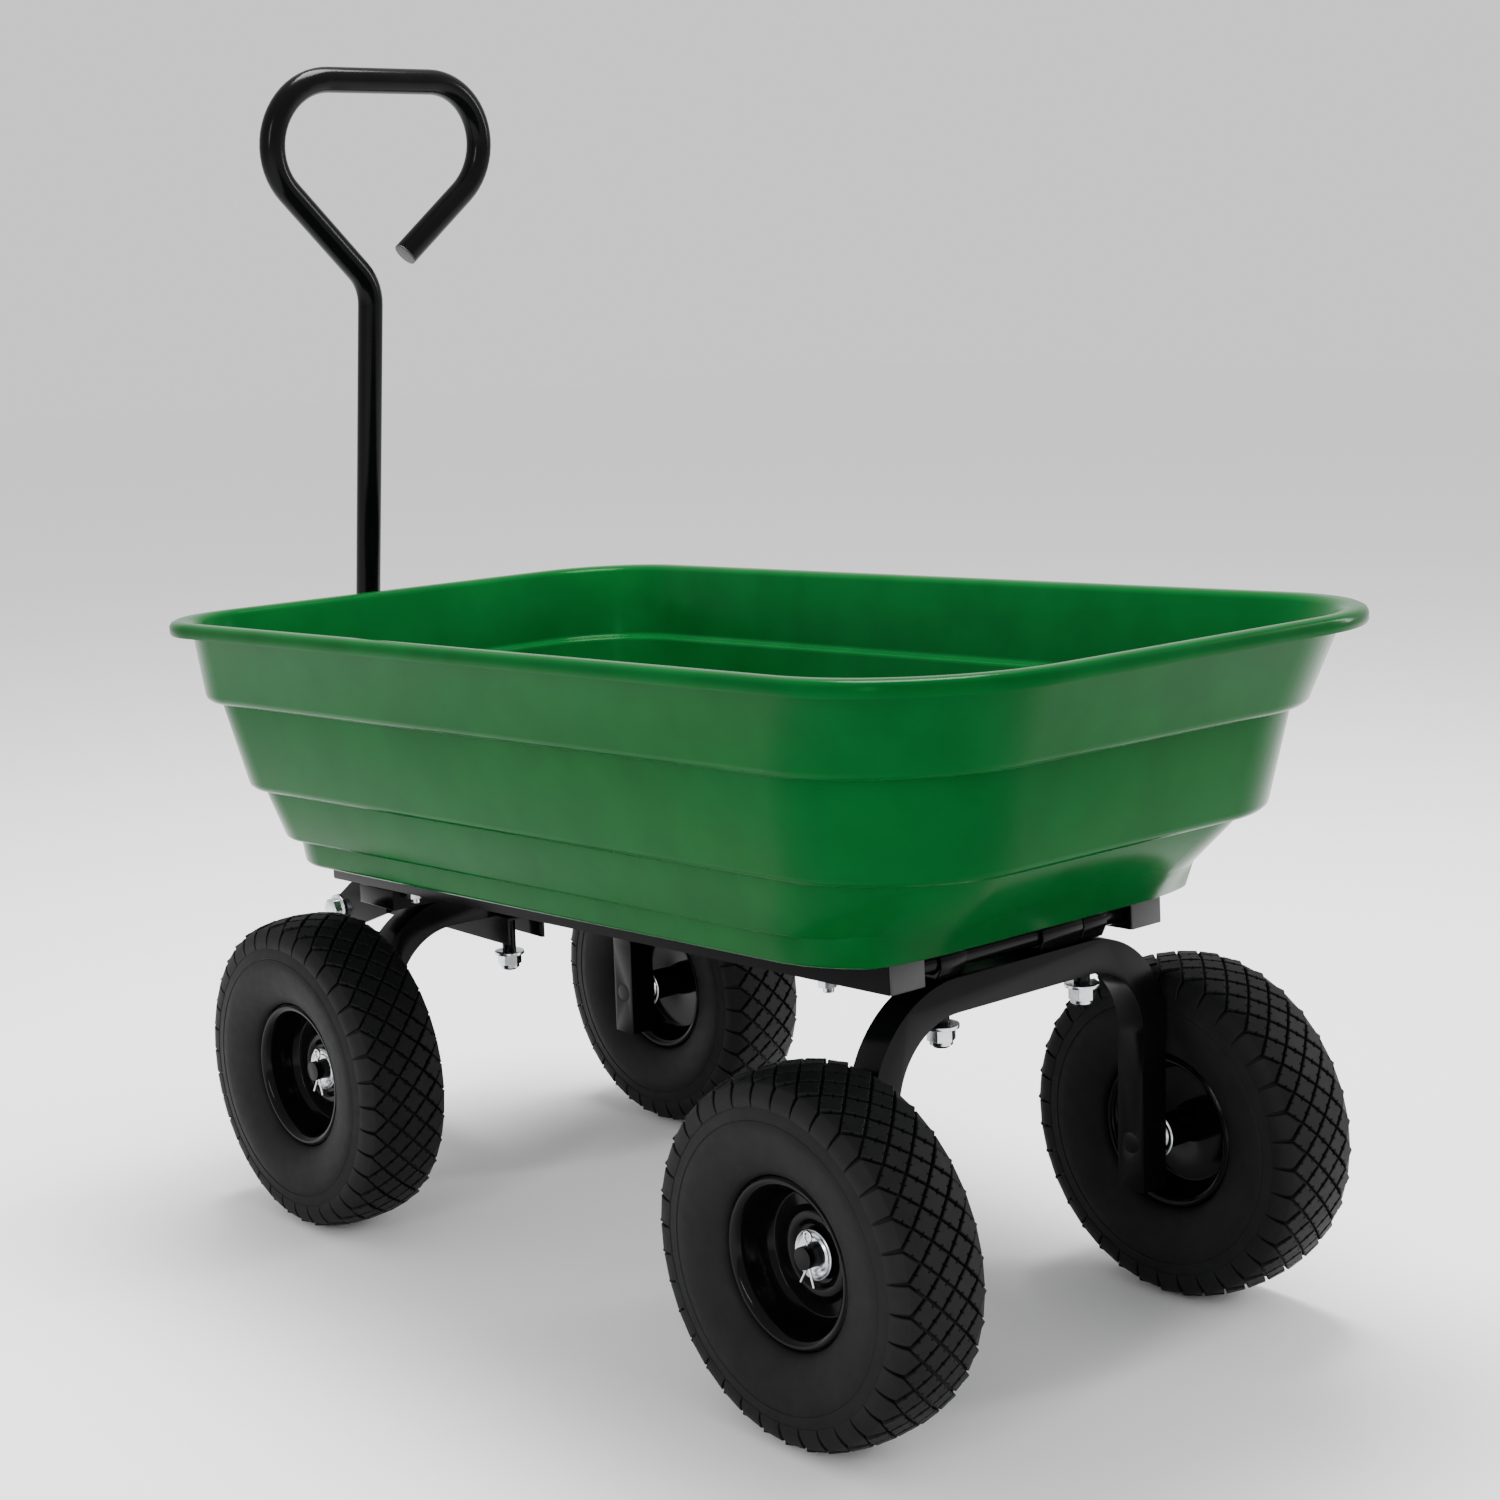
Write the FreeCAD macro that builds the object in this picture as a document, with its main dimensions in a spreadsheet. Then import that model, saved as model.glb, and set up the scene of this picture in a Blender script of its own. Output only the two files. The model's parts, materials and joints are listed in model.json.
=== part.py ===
import FreeCAD, Part
import Sketcher
import math
import os
import re
from FreeCAD import Placement, Rotation, Vector

# Garden cart with a tipping moulded tub, four foam-tyred wheels, a steering front axle and a D-loop handle.
# Frame: +X to the rear, where the tub tips out; +Y to the cart's right; +Z up; ground at Z = 0.

doc = FreeCAD.newDocument("garden_cart")

SIZES = [
    # wheels
    ("wheel_radius", 130, "outer radius of the tyre, ten inch wheel"),
    ("wheel_base", 606, "front axle to rear axle"),
    ("wheel_track", 385, "between the middle planes of two wheels"),
    ("axle_middle", 33.6, "X of the point halfway between the axles"),
    ("tyre_width", 79, "widest part of the tyre"),
    ("tyre_seat", 53.7, "inner radius of the tyre on the rim"),
    ("tread_width", 60, "flat part of the tread"),
    ("tread_crown", 3, "drop of the tread from its middle to its edge"),
    ("flange_radius", 58.7, "outer radius of the rim flange"),
    ("flange_reach", 27.3, "wheel middle plane to the rim's edge"),
    ("rim_sheet", 2, "steel sheet of the pressed rim"),
    ("barrel_radius", 48.5, "rim barrel at the root"),
    ("seat_ring_radius", 27, "raised ring round the hub"),
    ("hub_radius", 13.5, "outside of the hub tube"),
    ("hub_length", 39, "length of the hub tube"),
    ("hub_proud", 0.5, "hub end beyond the wheel's middle plane"),
    ("bearing_radius", 11.5, "outside of a wheel bearing"),
    ("bearing_width", 9, "width of a wheel bearing"),
    ("stub_radius", 8, "axle stub"),
    ("stub_end", 13.5, "axle stub beyond the wheel's middle plane"),
    ("bearing_play", 0.05, "radial clearance of a bearing on its stub"),
    ("washer_radius", 18, "cup washer beside the hub"),
    ("washer_height", 3, "cup washer"),
    ("side_play", 0.4, "gap between a hub and its washers"),
    ("cotter_wire", 1.6, "radius of the split pin's shank"),
    ("cotter_drop", 12, "split pin from the axle's centre to its legs"),
    # axle arches
    ("tube_side", 25, "square tube of both arches"),
    ("tube_wall", 2, "wall of all steel tubes"),
    ("leg_spread", 137.5, "centre plane of the cart to the middle of an arch leg"),
    ("arch_bend", 70, "centreline radius of the arch bends"),
    ("rear_rise", 168, "rear arch top above the wheel centres"),
    ("front_rise", 126, "front arch top above the wheel centres"),
    ("leg_drop", 37, "arch legs below the wheel centres"),
    # studs and nuts
    ("stud_radius", 6, "weld studs and pivot bolts"),
    ("stud_spread", 72, "centre plane to a rear axle stud"),
    ("nut_flange_radius", 13, "flange of a lock nut"),
    ("nut_across", 18, "across the flats of a lock nut"),
    ("nut_height", 14.5, "lock nut with its flange and collar"),
    ("axle_nut_drop", 9, "nut below the rear arch"),
    ("king_nut_drop", 37, "nut below the front arch"),
    ("pivot_play", 0.08, "radial clearance of every slow pivot"),
    ("joint_gap", 0.3, "gap between flat faces that turn on each other"),
    # chassis
    ("beam_width", 25, "chassis beam"),
    ("beam_height", 19.5, "chassis beam"),
    ("beam_ahead", 15, "chassis beam ahead of the front axle"),
    ("bolster_length", 50, "front bolster along X"),
    ("bolster_half_width", 134, "front bolster along Y"),
    ("bolster_height", 16.1, "front bolster at the king stud"),
    ("swivel_radius", 30, "nylon swivel washer"),
    ("swivel_height", 2, "nylon swivel washer"),
    ("pad_height", 1.1, "rubber pad under a bed rail"),
    ("hinge_behind", 3, "tipping axis behind the rear axle"),
    ("hinge_above", 12.9, "tipping axis above the rear arch"),
    ("rod_radius", 8, "hinge rod of the bed"),
    ("knuckle_play", 0.4, "gap between the hinge knuckles and the tub's floor"),
    ("shoe_ahead", 32, "hinge shoe ahead of the tipping axis"),
    ("strap_gap", 1, "middle hinge strap to the right-hand shoe"),
    ("strap_side", 17, "centre plane to the near edge of the strap"),
    # bed
    ("rail_spread", 121, "centre plane to the middle of a bed rail"),
    ("rail_width", 32, "bed rail"),
    ("rail_height", 23, "bed rail"),
    ("rail_behind", 14, "bed rail behind the tipping axis"),
    ("rail_ahead", 669, "bed rail ahead of the tipping axis"),
    ("cap_height", 2, "flange of a rail end cap"),
    ("front_bar_ahead", 640, "front cross bar ahead of the tipping axis"),
    ("front_bar_radius", 6, "front cross bar"),
    ("bolt_radius", 4, "tub bolts"),
    ("rear_bolt_ahead", 64, "rear tub bolts ahead of the tipping axis"),
    ("front_bolt_ahead", 572, "front tub bolts ahead of the tipping axis"),
    ("tub_length", 936.6, "rim, front to rear"),
    ("tub_behind", 178, "rim behind the tipping axis"),
    ("tub_half_width", 259.7, "rim"),
    ("tub_depth", 208.4, "bottom to the rim's crest"),
    ("tub_wall", 4, "moulded wall"),
    ("rim_front_corner", 86, "plan radius of the rim's front corners"),
    ("rim_rear_corner", 128, "plan radius of the rim's rear corners"),
    ("lip_height", 11.4, "turned-down lip of the rim"),
    ("lip_overhang", 13, "rim beyond the wall"),
    # tongue and handle
    ("tongue_half_width", 20, "tongue channel at the king stud"),
    ("clevis_half_width", 26, "between the clevis plates"),
    ("clevis_plate", 4, "clevis plate"),
    ("clevis_nose", 13, "round end of a clevis plate"),
    ("tongue_sheet", 3, "folded steel of the tongue"),
    ("tongue_height", 24, "tongue channel"),
    ("tongue_behind", 26, "tongue channel behind the king stud"),
    ("pivot_above", 70, "handle pivot above the wheel centres"),
    ("pivot_ahead", 77.4, "handle pivot ahead of the tub's rim"),
    ("handle_lean", 6.3, "handle leans to the rear, degrees"),
    ("handle_radius", 11, "handle tube"),
    ("sleeve_radius", 10, "cross sleeve at the handle's foot"),
    ("neck_height", 575, "pivot to the neck of the handle"),
    ("grip_height", 750, "pivot to the centreline of the grip bar"),
    ("loop_left", 181, "corner of the loop's left lobe before rounding"),
    ("loop_right", 203, "corner of the loop's right lobe before rounding"),
    ("loop_end_side", 37, "free end of the loop, sideways"),
    ("loop_end_height", 601, "free end of the loop above the pivot"),
    ("loop_bend", 55, "centreline radius of the lobes"),
    ("neck_bend", 42, "centreline radius of the neck"),
]

sheet = doc.addObject("Spreadsheet::Sheet", "sizes")
for row, (alias, number, note) in enumerate(SIZES, 1):
    sheet.set(f"A{row}", alias)
    sheet.set(f"B{row}", str(number))
    sheet.set(f"C{row}", note)
    sheet.setAlias(f"B{row}", alias)
doc.recompute()

# Places and sizes that follow from the driving ones
DERIVED = {
    "rear_axle": "axle_middle + wheel_base / 2",
    "front_axle": "axle_middle - wheel_base / 2",
    "rear_top": "wheel_radius + rear_rise",
    "front_top": "wheel_radius + front_rise",
    "hinge_x": "rear_axle + hinge_behind",
    "hinge_z": "rear_top + hinge_above",
    "bolster_foot": "front_top + joint_gap + swivel_height",
    "bed_slope": "(rear_top - bolster_foot - bolster_height) / (wheel_base + hinge_behind)",
    "bed_tilt": "atan(bed_slope)",
    "rim_front": "tub_behind - tub_length",
    "pivot_x": "hinge_x + rim_front - pivot_ahead",
    "pivot_z": "wheel_radius + pivot_above",
    "tub_foot": "rail_height / 2",
    "knuckle_radius": "rail_height / 2 - knuckle_play",
    "rim_top": "tub_foot + tub_depth",
    "hub_inner": "hub_proud - hub_length",
    "strap_width": "stud_spread - beam_width / 2 - strap_gap - strap_side",
    "tongue_foot": "front_top - tube_side - tongue_height",
}
aliases = {alias for alias, number, note in SIZES}


def formula(words):
    """Writes a formula with each derived size worked in and each alias pointed at the sheet."""
    def swap(match):
        word = match.group()
        if word in DERIVED:
            return "(" + formula(DERIVED[word]) + ")"
        return "sizes." + word if word in aliases else word
    return re.sub(r"[a-z_]+", swap, str(words))


def value(words):
    return float(sheet.evalExpression(formula(words)))


def bind(thing, **formulas):
    for name, words in formulas.items():
        thing.setExpression(name, formula(words))
    return thing


def place(thing, x="0", y="0", z="0", axis=(0, 0, 1), angle=None):
    """Puts a thing at a bound place, turned by a bound angle about an axis."""
    turn = Rotation(Vector(*axis), value(angle) if angle else 0)
    thing.Placement = Placement(Vector(value(x), value(y), value(z)), turn)
    for letter, words in zip("xyz", (x, y, z)):
        thing.setExpression("Placement.Base." + letter, formula(words))
    if angle:
        thing.setExpression("Placement.Rotation.Angle", formula(angle))
    return thing


def on_bed(thing):
    """The bed's own frame: origin on the tipping axis, X along the sloping rails."""
    return place(thing, x="hinge_x", z="hinge_z", axis=(0, -1, 0), angle="bed_tilt")


def on_handle(thing):
    """The handle's own frame: origin on its pivot, Z up the leaning tube."""
    return place(thing, x="pivot_x", z="pivot_z", axis=(0, 1, 0), angle="handle_lean")


nodes = []


def node(thing, label):
    thing.Label = label
    nodes.append(thing)
    return thing


# Sketches and features

def new_body(name):
    return doc.addObject("PartDesign::Body", name)


def new_sketch(body, name, role, level="0"):
    sketch = body.newObject("Sketcher::SketchObject", name)
    plane = [part for part in body.Origin.OriginFeatures if part.Role == role][0]
    sketch.AttachmentSupport = (plane, [""])
    sketch.MapMode = "FlatFace"
    sketch.AttachmentOffset = Placement(Vector(0, 0, value(level)), Rotation())
    sketch.setExpression("AttachmentOffset.Base.z", formula(level))
    return sketch


def outline(sketch, points, closed=True):
    """Draws lines and arcs through bound points. A point is (x, y), or (x, y, radius) when the edge that
    ends there is an arc. The arc bulges to the right of the way of travel, or to the left with a minus."""
    spots = [Vector(value(point[0]), value(point[1]), 0) for point in points]
    edges = []
    for index in range(0 if closed else 1, len(points)):
        start, end = spots[index - 1], spots[index]
        if len(points[index]) == 3:
            radius = value(points[index][2])
            side = Vector(end.y - start.y, start.x - end.x, 0).normalize()
            half = (end - start).Length / 2
            rise = abs(radius) - math.sqrt(max(radius ** 2 - half ** 2, 0))
            middle = (start + end) * 0.5 + side * math.copysign(rise, radius)
            edge = sketch.addGeometry(Part.Arc(start, middle, end))
            forward = sketch.getPoint(edge, 1).distanceToPoint(start) < 1e-6
            sketch.setExpression(f"Constraints[{add_radius(sketch, edge, abs(radius))}]",
                                 f"abs({formula(points[index][2])})")
        else:
            edge = sketch.addGeometry(Part.LineSegment(start, end))
            forward = True
        edges.append((edge, 1 if forward else 2, 2 if forward else 1))
    for index, (edge, first, last) in enumerate(edges):
        if closed or index:
            before = edges[index - 1]
            sketch.addConstraint(Sketcher.Constraint("Coincident", before[0], before[2], edge, first))
    ends = [(edge, last) for edge, first, last in edges]
    if not closed:
        ends.insert(0, edges[0][:2])
    for (edge, end), point, spot in zip(ends, points, spots):
        for kind, words, number in (("DistanceX", point[0], spot.x), ("DistanceY", point[1], spot.y)):
            limit = sketch.addConstraint(Sketcher.Constraint(kind, -1, 1, edge, end, number))
            sketch.setExpression(f"Constraints[{limit}]", formula(words))
    return sketch


def add_radius(sketch, edge, radius):
    return sketch.addConstraint(Sketcher.Constraint("Radius", edge, radius))


def circle(sketch, x, y, radius):
    middle = Vector(value(x), value(y), 0)
    ring = sketch.addGeometry(Part.Circle(middle, Vector(0, 0, 1), value(radius)))
    limits = (("DistanceX", x, middle.x), ("DistanceY", y, middle.y))
    for kind, words, number in limits:
        limit = sketch.addConstraint(Sketcher.Constraint(kind, -1, 1, ring, 3, number))
        sketch.setExpression(f"Constraints[{limit}]", formula(words))
    sketch.setExpression(f"Constraints[{add_radius(sketch, ring, value(radius))}]", formula(radius))
    return sketch


def square(sketch, x, y, side):
    half = f"({side}) / 2"
    corners = [(-1, -1), (1, -1), (1, 1), (-1, 1)]
    return outline(sketch, [(f"{x} + {a} * {half}", f"{y} + {b} * {half}") for a, b in corners])


def pad(body, sketch, length, symmetric=True):
    feature = body.newObject("PartDesign::Pad", sketch.Name + "_pad")
    feature.Profile = sketch
    feature.SideType = "Symmetric" if symmetric else "One side"
    return bind(feature, Length=length)


def pocket(body, sketch, length):
    """Cuts equally to both sides of the sketch."""
    feature = body.newObject("PartDesign::Pocket", sketch.Name + "_pocket")
    feature.Profile = sketch
    feature.SideType = "Symmetric"
    return bind(feature, Length=length)


def turned(name, points):
    """A solid turned about the Y axis from an outline of (radius, y) points."""
    body = new_body(name)
    sketch = outline(new_sketch(body, name + "_section", "XY_Plane"), points)
    feature = body.newObject("PartDesign::Revolution", name + "_turned")
    feature.Profile = sketch
    feature.ReferenceAxis = (sketch, ["V_Axis"])
    feature.Angle = 360
    return body


def pressed(face, sheet_size):
    """Outline of bent sheet: the face's (x, y, dx, dy) points, then the same points moved by the sheet."""
    back = [(f"{x} + ({dx}) * {sheet_size}", f"{y} + ({dy}) * {sheet_size}")
            for x, y, dx, dy in reversed(face)]
    return [(x, y) for x, y, dx, dy in face] + back


def cylinder(name, radius, length, x="0", y="0", z="0", along="Z"):
    """A cylinder centred on its place."""
    thing = bind(doc.addObject("Part::Cylinder", name), Radius=radius, Height=length)
    back = f"({length}) / 2"
    turns = {"X": ((0, 1, 0), 90), "Y": ((1, 0, 0), -90), "Z": ((0, 0, 1), 0)}
    axis, angle = turns[along]
    starts = {"X": (f"{x} - {back}", y, z), "Y": (x, f"{y} - {back}", z), "Z": (x, y, f"{z} - {back}")}
    place(thing, *starts[along])
    thing.Placement.Rotation = Rotation(Vector(*axis), angle)
    return thing


def box(name, length, width, height, x="0", y="0", z="0"):
    """A box centred on its place."""
    thing = bind(doc.addObject("Part::Box", name), Length=length, Width=width, Height=height)
    return place(thing, f"{x} - ({length}) / 2", f"{y} - ({width}) / 2", f"{z} - ({height}) / 2")


def cut(name, base, *tools):
    for index, tool in enumerate(tools):
        thing = doc.addObject("Part::Cut", name if index == len(tools) - 1 else f"{name}_cut{index}")
        thing.Base = base
        thing.Tool = tool
        base = thing
    return base


def fuse(name, *things):
    thing = doc.addObject("Part::MultiFuse", name)
    thing.Shapes = list(things)
    thing.Refine = True
    return thing


def group(name, things):
    """Separate identical solids that share a node."""
    thing = doc.addObject("Part::Compound", name)
    thing.Links = things
    return thing


# Wheels: local Y points outwards, the origin is the wheel's centre

CORNERS = {
    "front_left": ("front_axle", -1), "front_right": ("front_axle", 1),
    "rear_left": ("rear_axle", -1), "rear_right": ("rear_axle", 1),
}


def at_wheel(thing, corner):
    axle, side = CORNERS[corner]
    thing = place(thing, x=axle, y=f"{side} * wheel_track / 2", z="wheel_radius")
    thing.Placement.Rotation = Rotation(Vector(0, 0, 1), 0 if side > 0 else 180)
    return thing


def tyre(name):
    half = [
        ("tyre_seat", "flange_reach - 3.2"), ("flange_radius + 1.5", "flange_reach - 3.2"),
        ("flange_radius + 2", "flange_reach + 1.5"),
        ("wheel_radius - 36", "tyre_width / 2", "60"),
        ("wheel_radius - 11", "tyre_width / 2 - 4", "60"),
        ("wheel_radius - tread_crown", "tread_width / 2", "14"),
    ]
    other = [(radius, f"-({y})", *bulge) for radius, y, *bulge in half]
    lower = [other[0], other[1], other[2], other[3][:3], other[4][:3], other[5][:3]]
    upper = [("wheel_radius - tread_crown", "tread_width / 2",
              "(tread_width ^ 2 / 4 + tread_crown ^ 2) / (2 * tread_crown)")]
    upper += [half[4][:2] + ("14",), half[3][:2] + ("60",), half[2][:2] + ("60",), half[1][:2], half[0][:2]]
    return turned(name, lower + upper)


def rim_outer(name):
    face = [
        ("flange_radius", "flange_reach", 0, -1), ("flange_radius - 5", "flange_reach", "0.4", -1),
        ("barrel_radius + 3", "flange_reach - 3", 1, "-0.4"), ("barrel_radius", "4", 1, "-0.4"),
        ("barrel_radius - 4", "-1", "0.4", -1), ("seat_ring_radius + 5", "-1", "-0.4", -1),
        ("seat_ring_radius + 2", "2.5", "-0.4", -1), ("seat_ring_radius - 3", "2.5", "0.4", -1),
        ("seat_ring_radius - 6", "-1", "0.4", -1), ("hub_radius", "-1", 0, -1),
    ]
    return turned(name, pressed(face, "rim_sheet"))


def rim_inner(name):
    face = [
        ("flange_radius", "-flange_reach", 0, 1), ("flange_radius - 5", "-flange_reach", "0.4", 1),
        ("barrel_radius + 3", "3 - flange_reach", 1, "0.4"), ("barrel_radius", "-9.6", 1, "0.4"),
        ("barrel_radius - 4", "-5", "0.4", 1), ("seat_ring_radius + 6", "-5", "0", 1),
        ("hub_radius", "-5", 0, 1),
    ]
    return turned(name, pressed(face, "rim_sheet"))


def hub(name):
    return turned(name, [
        ("hub_radius", "hub_proud"), ("bearing_radius", "hub_proud"),
        ("bearing_radius", "hub_proud - bearing_width"), ("bearing_radius - 1", "hub_proud - bearing_width"),
        ("bearing_radius - 1", "hub_inner + bearing_width"), ("bearing_radius", "hub_inner + bearing_width"),
        ("bearing_radius", "hub_inner"), ("hub_radius", "hub_inner"),
    ])


def bearing(name, low):
    """A flanged bush bearing whose bore runs on the axle stub."""
    bore = "stub_radius + bearing_play"
    return turned(name, [
        (bore, low), ("bearing_radius", low), ("bearing_radius", f"{low} + bearing_width"),
        (bore, f"{low} + bearing_width"),
    ])


for corner in CORNERS:
    for piece, maker in (("tyre", tyre), ("rim_outer", rim_outer), ("rim_inner", rim_inner), ("hub", hub)):
        node(at_wheel(maker(f"wheel_{corner}_{piece}"), corner), f"wheel_{corner}_{piece}")
    pair = [bearing(f"bearing_{corner}_out", "hub_proud - bearing_width"),
            bearing(f"bearing_{corner}_in", "hub_inner")]
    node(at_wheel(group(f"wheel_{corner}_bearings", pair), corner), f"wheel_{corner}_bearings")


# Axle arches: square tube bent down at both sides, with a stub through each leg

def arch(name, rise, holes):
    body = new_body(name)
    top = f"{rise} - tube_side / 2"
    bend = "arch_bend"
    spine = new_sketch(body, name + "_spine", "YZ_Plane")
    outline(spine, [
        ("-leg_spread", "-leg_drop"), ("-leg_spread", f"{top} - {bend}"),
        (f"{bend} - leg_spread", top, f"-{bend}"), (f"leg_spread - {bend}", top),
        ("leg_spread", f"{top} - {bend}", f"-{bend}"), ("leg_spread", "-leg_drop"),
    ], closed=False)
    for kind, side in (("AdditivePipe", "tube_side"), ("SubtractivePipe", "tube_side - 2 * tube_wall")):
        section = new_sketch(body, f"{name}_{kind}_section", "XY_Plane", "-leg_drop")
        square(section, "0", "-leg_spread", side)
        pipe = body.newObject("PartDesign::" + kind, f"{name}_{kind}")
        pipe.Profile = section
        pipe.Spine = (spine, [])
    across = circle(new_sketch(body, name + "_stub_holes", "XZ_Plane"), "0", "0", "stub_radius")
    pocket(body, across, "2 * leg_spread + 2 * tube_side")
    down = new_sketch(body, name + "_stud_holes", "XY_Plane", top)
    for y, radius in holes:
        circle(down, "0", y, radius)
    pocket(body, down, "2 * tube_side")
    return body


rear_holes = [("stud_spread", "stud_radius"), ("-stud_spread", "stud_radius")]
rear_arch = arch("rear_axle_arch", "rear_rise", rear_holes)
node(place(rear_arch, x="rear_axle", z="wheel_radius"), "rear_axle_arch")
front_arch = arch("front_axle_arch", "front_rise", [("0", "stud_radius + pivot_play")])
node(place(front_arch, x="front_axle", z="wheel_radius"), "front_axle_arch")


def stub(name, corner):
    """Axle stub from inside the leg to beyond the outer washer, cross-drilled for the split pin."""
    inner = "leg_spread - tube_side / 2 - wheel_track / 2"
    outer = "stub_end"
    middle = f"({outer} + ({inner})) / 2"
    rod = cylinder(name + "_rod", "stub_radius", f"{outer} - ({inner})", y=middle, along="Y")
    hole = cylinder(name + "_hole", "cotter_wire + 0.2", "3 * stub_radius", y="stub_end - 5.5")
    return at_wheel(cut(name, rod, hole), corner)


def cup_washer(name, y, side):
    """Dished washer with its rim turned away from the hub."""
    rim = f"{y} + {side} * washer_height"
    return turned(name, [
        ("stub_radius", y), ("washer_radius - 2", y), ("washer_radius", rim), ("washer_radius - 1.6", rim),
        ("washer_radius - 3", f"{y} + {side} * 1.4"), ("stub_radius", f"{y} + {side} * 1.4"),
    ])


def washers(name, corner):
    outer = cup_washer(name + "_out", "hub_proud + side_play", 1)
    inner = cup_washer(name + "_in", "hub_inner - side_play", -1)
    return [at_wheel(thing, corner) for thing in (outer, inner)]


def cotter(name, corner):
    """Split pin: an eye above the stub, a shank through it and two spread legs below."""
    shank = cylinder(name + "_shank", "cotter_wire", "2 * stub_radius + 5", z="1.5")
    eye = bind(doc.addObject("Part::Torus", name + "_eye"), Radius1="3.4", Radius2="cotter_wire * 0.75")
    place(eye, z="stub_radius + 6.4")
    eye.Placement.Rotation = Rotation(Vector(1, 0, 0), 90)
    legs = []
    for side in (-1, 1):
        leg = doc.addObject("Part::Cylinder", f"{name}_leg{side + 1}")
        bind(leg, Radius="cotter_wire * 0.7", Height="cotter_drop")
        place(leg, x=f"{side} * cotter_wire * 0.3", z="-stub_radius - 0.5")
        leg.Placement.Rotation = Rotation(Vector(0, 1, 0), 180 - side * 24)
        legs.append(leg)
    pin = fuse(name + "_pin", shank, eye, *legs)
    place(pin, y="stub_end - 5.5")
    return at_wheel(group(name, [pin]), corner)


for end in ("front", "rear"):
    corners = [corner for corner in CORNERS if corner.startswith(end)]
    stubs = [stub(f"stub_{corner}", corner) for corner in corners]
    node(group(end + "_stub_axles", stubs), end + "_stub_axles")
    cups = [cup for corner in corners for cup in washers(f"washer_{corner}", corner)]
    node(group(end + "_axle_washers", cups), end + "_axle_washers")
    pins = [cotter(f"cotter_{corner}", corner) for corner in corners]
    node(group(end + "_cotter_pins", pins), end + "_cotter_pins")


# Studs and lock nuts

def flange_nut(name, x, y, top):
    """Lock nut whose flange is at the top."""
    flange = cylinder(name + "_flange", "nut_flange_radius", "2.5", z="-1.25")
    hexagon = doc.addObject("Part::Prism", name + "_hexagon")
    hexagon.Polygon = 6
    bind(hexagon, Circumradius="nut_across / 2 / cos(30)", Height="nut_height - 5.5")
    place(hexagon, z="3 - nut_height")
    collar = cylinder(name + "_collar", "nut_across / 2 - 0.8", "nut_height - 2", z="-(nut_height + 2) / 2")
    bore = cylinder(name + "_bore", "stud_radius", "3 * nut_height")
    return place(cut(name, fuse(name + "_blank", flange, hexagon, collar), bore), x=x, y=y, z=top)


def stud(name, x, y, low, high):
    return cylinder(name, "stud_radius", f"({high}) - ({low})", x, y, f"(({high}) + ({low})) / 2")


rear_nut_top = "rear_top - tube_side - axle_nut_drop"
sides = {"left": -1, "right": 1}
stud_foot = f"{rear_nut_top} - nut_height - 2"
studs = [stud(f"axle_stud_{side}", "rear_axle", f"{sign} * stud_spread", stud_foot, "rear_top")
         for side, sign in sides.items()]
node(group("axle_studs", studs), "axle_studs")
nuts = [flange_nut(f"axle_nut_{side}", "rear_axle", f"{sign} * stud_spread", rear_nut_top)
        for side, sign in sides.items()]
node(group("axle_nuts", nuts), "axle_nuts")

king_nut_top = "front_top - tube_side - king_nut_drop"
king_foot = f"{king_nut_top} - nut_height - 2"
king = stud("king_stud", "front_axle", "0", king_foot, "bolster_foot + bolster_height / 2")
node(king, "king_stud")
node(flange_nut("king_nut", "front_axle", "0", king_nut_top), "king_nut")


# Chassis: two beams from the hinge shoes to the bolster over the front axle

def hinge_shoe(name, side):
    """Block on the rear arch that ends in the knuckle round the hinge rod."""
    body = new_body(name)
    foot = "-hinge_above"
    profile = outline(new_sketch(body, name + "_side", "XZ_Plane"), [
        ("-shoe_ahead", foot), ("6", foot), ("knuckle_radius * cos(30)", "-knuckle_radius * sin(30)"),
        ("0", "knuckle_radius", "knuckle_radius"),
        ("-knuckle_radius * cos(30)", "knuckle_radius * sin(30)", "knuckle_radius"), ("-shoe_ahead", "4"),
    ])
    pad(body, profile, "beam_width")
    bore = circle(new_sketch(body, name + "_bore", "XZ_Plane"), "0", "0", "rod_radius + pivot_play")
    pocket(body, bore, "2 * beam_width")
    return place(body, x="hinge_x", y=f"{side} * stud_spread", z="hinge_z")


shoes = [hinge_shoe(f"hinge_shoe_{side}", sign) for side, sign in sides.items()]
node(group("hinge_shoes", shoes), "hinge_shoes")


def hinge_strap(name):
    """Short folded strap on the arch that holds the middle of the hinge rod."""
    body = new_body(name)
    foot = "-hinge_above"
    profile = outline(new_sketch(body, name + "_side", "XZ_Plane"), [
        ("-15", foot), ("6", foot), ("knuckle_radius * cos(30)", "-knuckle_radius * sin(30)"),
        ("0", "knuckle_radius", "knuckle_radius"),
        ("-knuckle_radius", "0", "knuckle_radius"), ("-15", "-6"),
    ])
    pad(body, profile, "strap_width")
    bore = circle(new_sketch(body, name + "_bore", "XZ_Plane"), "0", "0", "rod_radius + pivot_play")
    pocket(body, bore, "2 * strap_width")
    return place(body, x="hinge_x", y="strap_side + strap_width / 2", z="hinge_z")


node(hinge_strap("hinge_strap"), "hinge_strap")


def beam(name, side):
    """Rectangular tube along the sloping bed, open at both ends."""
    front = "wheel_base + hinge_behind + beam_ahead"
    rear = "shoe_ahead + 1"
    length = f"{front} - ({rear})"
    middle = f"-({front} + {rear}) / 2"
    level = "beam_height / 2 - hinge_above"
    y = f"{side} * stud_spread"
    outer = box(name + "_outer", length, "beam_width", "beam_height", middle, y, level)
    inner = box(name + "_inner", f"{length} + 10", "beam_width - 2 * tube_wall",
                "beam_height - 2 * tube_wall", middle, y, level)
    return on_bed(cut(name, outer, inner))


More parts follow.
